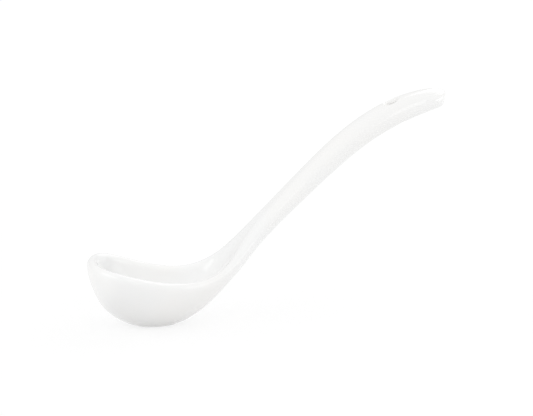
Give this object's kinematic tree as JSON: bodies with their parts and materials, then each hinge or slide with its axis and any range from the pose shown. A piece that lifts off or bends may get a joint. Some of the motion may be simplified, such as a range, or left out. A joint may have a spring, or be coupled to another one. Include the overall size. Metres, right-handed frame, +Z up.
{
  "type": "soup spoon",
  "caption": "Glazed porcelain soup spoon with a deep bowl on a flat foot, a channelled neck and a long rising handle with a hanging hole.",
  "frame": {"origin": "on the flat foot under the bowl, in the spoon's middle plane", "axes": "+X from the bowl's tip towards the handle, +Y across the bowl, +Z up, foot on z = 0"},
  "size_m": [0.1651, 0.0454, 0.102],
  "materials": {
    "clay": "unglazed, fired, matte",
    "slip": "fired slip, matte",
    "glaze": "clear gloss glaze on white body"
  },
  "bodies": {
    "root": {"bowl": "clay", "handle": "clay", "slip_joint": "slip", "glaze_coat": "glaze"}
  },
  "joints": []
}
